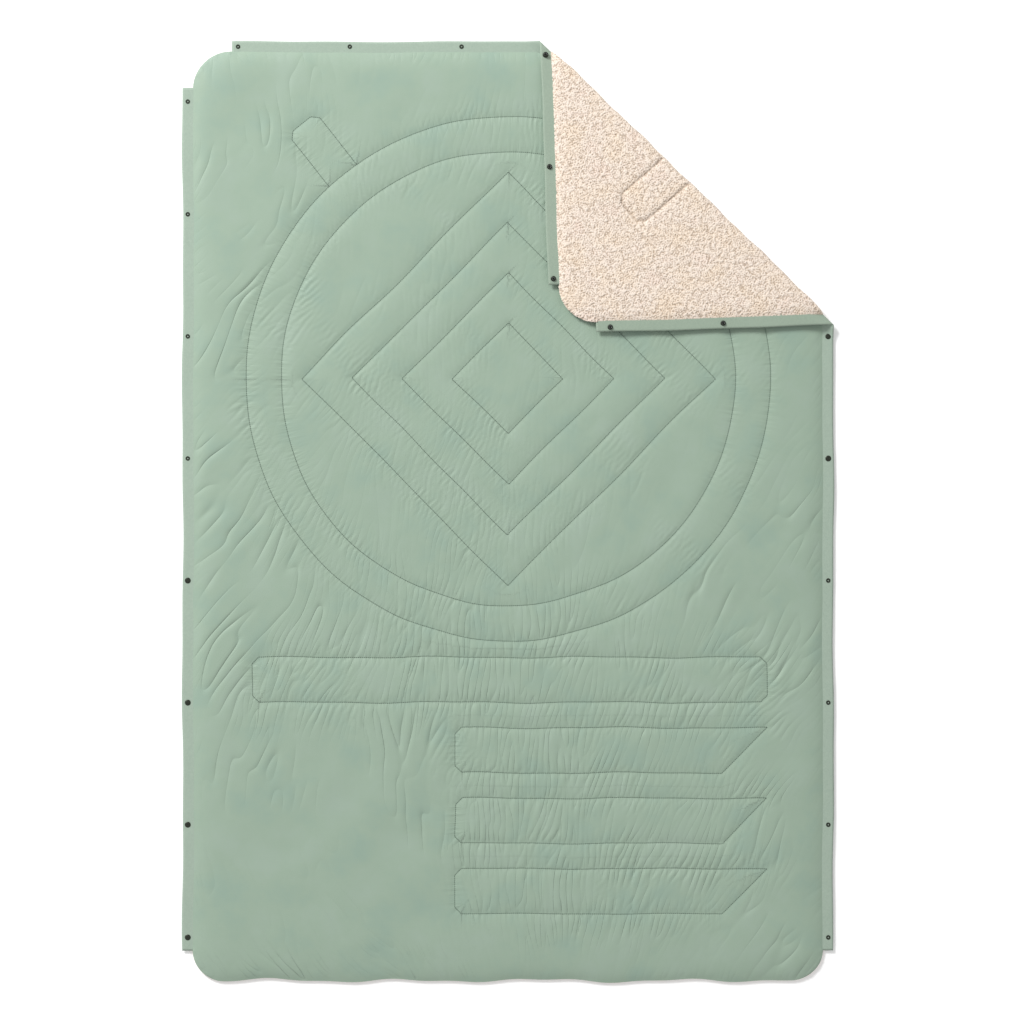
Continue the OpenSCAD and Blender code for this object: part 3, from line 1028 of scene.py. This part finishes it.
def build_lining_corner(rng):
    """The lining of the turned corner, with the bend that leads round the crease to the lining below."""
    s, t, flat, gap, near, kept = corner_grid()
    away = nearest_stitch(flat)[0]
    curl = curls(s.shape, PILE_CELL, rng)
    low = CURL_DEPTH * (1 - curl) * np.clip(gap / 5, 0.15, 1)
    z = lining_height(past_crease(flat), gap, away) + low
    p = turned(drifted(np.dstack([fluffed(flat, gap, near, curl, CORNER_BULGE), z])))
    p = bent_round(p, s, t, flat, gap, low)
    faces = triangles(kept, np.zeros_like(kept))[:, ::-1]
    cloth = np.stack([s, t, np.zeros_like(s)], -1)
    # Painted shade along the lines of stitches: the pile's colour is darkened there, while its shape keeps
    # the plain curls.
    curl_with_stitch_shade = curl * (1 - 0.6 * bell(away, 3) * (t > 0))
    piece = add_piece("lining_corner", p, faces, SHERPA, {"cloth": cloth, "curl": curl_with_stitch_shade})
    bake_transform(piece)
    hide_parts("corner_lining")
    return piece, float(kept.sum()) * PILE_CELL ** 2 * MM * MM


# ------------ batting

def build_batting():
    """The batting between shell and lining, as a thin slab for each part, clear of the seams."""
    x = grid_lines(-BODY_X, BODY_X, 0, BATTING_CELL)
    y = grid_lines(BODY_BOTTOM, BODY_TOP, 0, BATTING_CELL)
    flat = np.stack(np.meshgrid(x, y), -1)
    gap = inside(flat)[0]
    beyond = past_crease(flat)
    high = np.dstack([flat, np.full(gap.shape, BATTING_HIGH)])
    low = np.dstack([flat, np.full(gap.shape, BATTING_LOW)])
    pieces = []
    parts = (("batting_main", beyond < -BATTING_GAP), ("batting_corner", beyond > BATTING_GAP))
    for name, chosen in parts:
        kept = (gap > BATTING_GAP) & chosen
        p, faces = closed_slab(high, low, triangles(kept, np.zeros_like(kept)))
        if name == "batting_corner":
            p = turned(p)
        pieces.append(add_piece(name, p, faces, BATTING))
    fold(pieces[0])
    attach(pieces[1], "turned_corner")
    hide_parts("right_fill", "left_fill")
    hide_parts("corner_fill")
    return pieces


# ------------ stitches

def stitch_places():
    """The middle and direction of every stitch on the flat blanket."""
    middles, ways = [], []
    for a, b in SEGMENTS:
        length = np.linalg.norm(b - a)
        count = max(1, round(length / STITCH_PITCH))
        t = (np.arange(count) + 0.5) / count
        middles.append(a + t[:, None] * (b - a))
        ways.append(np.tile((b - a) / length, (count, 1)))
    for ring in RING_RADII:
        count = round(2 * math.pi * ring / STITCH_PITCH)
        angle = 2 * math.pi * np.arange(count) / count
        out = np.stack([np.cos(angle), np.sin(angle)], -1)
        middles.append([0, RING_Y] + ring * out)
        ways.append(np.stack([-out[:, 1], out[:, 0]], -1))
    return np.concatenate(middles), np.concatenate(ways)


def stitch_mesh(middles, ways, heights):
    """Points and faces of short threads, each with four sides and narrow ends."""
    stations = [(-0.5, 0.35), (-0.36, 1.0), (0.36, 1.0), (0.5, 0.35)]
    across = np.stack([-ways[:, 1], ways[:, 0]], -1)
    points = []
    for place, thick in stations:
        for side, up in ((-1, 0), (0, 1), (1, 0), (0, -1)):
            xy = middles + ways * place * STITCH_LENGTH + across * side * THREAD_RADIUS * thick
            points.append(np.column_stack([xy, heights + up * THREAD_RADIUS * thick]))
    points = np.stack(points, 1)
    sides = []
    for i in range(3):
        for k in range(4):
            low, high = 4 * i, 4 * i + 4
            sides.append([low + k, low + (k + 1) % 4, high + (k + 1) % 4, high + k])
    sides += [[3, 2, 1, 0], [12, 13, 14, 15]]
    faces = np.array(sides)[None] + 16 * np.arange(len(middles))[:, None, None]
    return points.reshape(-1, 3), faces.reshape(-1, 4)


def build_stitches():
    """The shell's thread and the lining's thread, on the flat part and on the turned corner."""
    middles, ways = stitch_places()
    beyond = past_crease(middles)
    gap = np.maximum(inside(middles)[0], 0)
    needle = raised_at_crease(np.full(len(middles), STITCH_Z), beyond) + NEEDLE_LIFT
    bobbin = lining_height(beyond, gap, np.zeros(len(middles))) + BOBBIN_LIFT
    for side, heights, material in (("needle", needle, THREAD), ("bobbin", bobbin, LINING_THREAD)):
        nodes = f"{side}_thread"
        parts = (("main", beyond < -STITCH_TO_CREASE), ("corner", beyond > STITCH_TO_CREASE))
        for part, chosen in parts:
            cloth, faces = stitch_mesh(middles[chosen], ways[chosen], heights[chosen])
            p = drifted(cloth)
            if part == "corner":
                p = turned(p)
                faces = faces[:, ::-1]
            piece = add_piece(f"{side}_stitches_{part}", p, faces, material, {"cloth": cloth})
            if part == "main":
                fold(piece)
                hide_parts(f"right_{nodes}", f"left_{nodes}")
            else:
                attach(piece, "turned_corner")
                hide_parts(f"corner_{nodes}")


# ------------ tapes

def tape_points(along, edge, upright):
    """Places on the flat blanket, from how far along and how far out they are."""
    edge = np.broadcast_to(edge, along.shape)
    return np.stack([edge, along] if upright else [along, edge], -1)


def crease_crossing(edge, upright):
    """Where the crease crosses a line at edge, along the tape."""
    point = CREASE_POINT @ CREASE_OUT
    if upright:
        return (point - edge * CREASE_OUT[0]) / CREASE_OUT[1]
    return (point - edge * CREASE_OUT[1]) / CREASE_OUT[0]


def snap_places(upright):
    """Where the snaps are along an edge: each CAD snap node's shells, by their middles."""
    names = ("left_stud_rings", "left_socket_caps") if upright else ("top_stud_rings",)
    found = []
    for name in names:
        mesh = frame["nodes"][name].data
        co = np.array([v.co for v in mesh.vertices]) / MM
        values = np.sort(np.unique(np.round(co[:, 1 if upright else 0])))
        groups = np.split(values, np.nonzero(np.diff(values) > 20)[0] + 1)
        found += [float(g.mean()) for g in groups]
    if not upright:
        found += [-f for f in found]
    return found


def tape_lift(along, upright):
    """How far the tape's free edge waves up and down: not at all beside the snaps."""
    wave = swing(0.35, along, 23) + swing(0.3, along, 57, 2)
    calm = np.ones_like(along)
    for place in snap_places(upright):
        calm *= 1 - bell(along - place, SNAP_CALM)
    return wave * calm


def build_tape(name, upright, inner, outer, start, end, nodes):
    """One tape, a thin closed strip. start or end is None where the crease cuts it."""
    across = np.linspace(0, 1, TAPE_ROWS)[:, None]
    edge = inner + (outer - inner) * across
    cut = crease_crossing(edge, upright)
    first = cut + CREASE_SLIT if start is None else np.full_like(edge, start)
    last = cut - CREASE_SLIT if end is None else np.full_like(edge, end)
    length = float(abs(last - first).mean())
    count = max(4, round(length / TAPE_CELL))
    along = first + (last - first) * np.linspace(0, 1, count + 1)
    flat = tape_points(along, edge, upright)
    z = raised_at_crease(np.full(along.shape, SEAM_Z), past_crease(flat))
    z = z + tape_lift(along, upright) * across
    middle = drifted(np.dstack([flat, z]))
    half = 0.5 * np.clip(np.minimum(across, 1 - across) * 8, 0.4, 1) * np.ones_like(along)
    high, low = middle.copy(), middle.copy()
    high[..., 2] += half
    low[..., 2] -= half
    index = np.arange(along.size).reshape(along.shape)
    a, b, c, d = index[:-1, :-1], index[:-1, 1:], index[1:, 1:], index[1:, :-1]
    top = np.concatenate([np.stack([a, b, c], -1).reshape(-1, 3), np.stack([a, c, d], -1).reshape(-1, 3)])
    if (outer > inner) == upright:
        top = top[:, ::-1]
    cloth, faces = closed_slab(high, low, top)
    p = turned(cloth) if start is None else cloth
    # under is 1 on the tape's lining side, where the tape material paints shade.
    under = np.repeat([0.0, 1.0], along.size)
    piece = add_piece(name, p, faces, TAPE, {"cloth": cloth, "under": under})
    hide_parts(*nodes)
    return piece


def build_tapes():
    """The five lengths of snap tape. Two begin at the crease, on the turned corner."""
    side = (BODY_X - SEAM_WIDTH, TAPE_X)
    head = (BODY_TOP - SEAM_WIDTH, TAPE_Y)
    low, high = TAPE_ENDS
    left = build_tape("left_side_tape_sewn", True, -side[0], -side[1], low, high, ["left_side_tape"])
    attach(left, "left_half")
    right = build_tape("right_side_tape_sewn", True, *side, low, None, ["right_side_tape"])
    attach(right, "right_half")
    top_nodes = ["top_tape_left", "top_tape_middle"]
    top = build_tape("top_tape_sewn", False, *head, -TOP_TAPE_HALF, None, top_nodes)
    fold(top)
    side_corner = build_tape("corner_side_tape_sewn", True, *side, None, high, ["corner_side_tape"])
    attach(side_corner, "turned_corner")
    top_corner = build_tape("corner_top_tape_sewn", False, *head, None, TOP_TAPE_HALF, ["corner_top_tape"])
    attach(top_corner, "turned_corner")


# ------------ the blanket

RNG = np.random.default_rng(SEED)
shell, shell_corner, shell_areas = build_shell(RNG)
lining, lining_area = build_lining_main(RNG)
lining_corner, corner_area = build_lining_corner(RNG)
batting, batting_corner = build_batting()
build_stitches()
build_tapes()

for name, node in frame["nodes"].items():
    if name.endswith(("stud_rings", "studs", "socket_caps", "sockets", "socket_springs")):
        node.data.materials.clear()
        node.data.materials.append(WIRE if name.endswith("springs") else SNAP)


# ------------ floor, light and camera

def build_floor():
    """A large white floor just below the blanket."""
    half = FLOOR_HALF
    mesh = bpy.data.meshes.new("floor")
    corners = [(x, y, FLOOR_Z) for x, y in ((-half, -half), (half, -half), (half, half), (-half, half))]
    mesh.from_pydata(corners, [], [(0, 1, 2, 3)])
    floor = bpy.data.objects.new("floor", mesh)
    paint = Nodes("floor", Base_Color=(0.96, 0.96, 0.96, 1.0), Roughness=0.9)
    paint.use(Emission_Color=(1.0, 1.0, 1.0, 1.0), Emission_Strength=FLOOR_GLOW)
    mesh.materials.append(paint.material)
    bpy.context.scene.collection.objects.link(floor)


def build_light():
    """A white sky, and a soft light from the upper left."""
    world = bpy.data.worlds.new("studio")
    world.use_nodes = True
    sky = world.node_tree.nodes["Background"]
    sky.inputs["Color"].default_value = (1.0, 1.0, 1.0, 1.0)
    sky.inputs["Strength"].default_value = SKY_STRENGTH
    bpy.context.scene.world = world
    key = bpy.data.lights.new("key", "AREA")
    key.shape = "DISK"
    key.size = LAMP_SIZE
    key.energy = LAMP_WATTS
    lamp = bpy.data.objects.new("key", key)
    lamp.location = LAMP_PLACE
    lamp.rotation_euler = Vector(LAMP_PLACE).to_track_quat("Z", "Y").to_euler()
    bpy.context.scene.collection.objects.link(lamp)


def build_camera():
    """A camera straight above."""
    camera = bpy.data.cameras.new("camera")
    camera.lens = CAMERA_LENS
    camera.sensor_width = 36
    camera.clip_end = 100
    eye = bpy.data.objects.new("camera", camera)
    eye.location = CAMERA_PLACE
    bpy.context.scene.collection.objects.link(eye)
    bpy.context.scene.camera = eye
    bpy.context.scene.view_settings.view_transform = "Standard"


build_floor()
build_light()
build_camera()
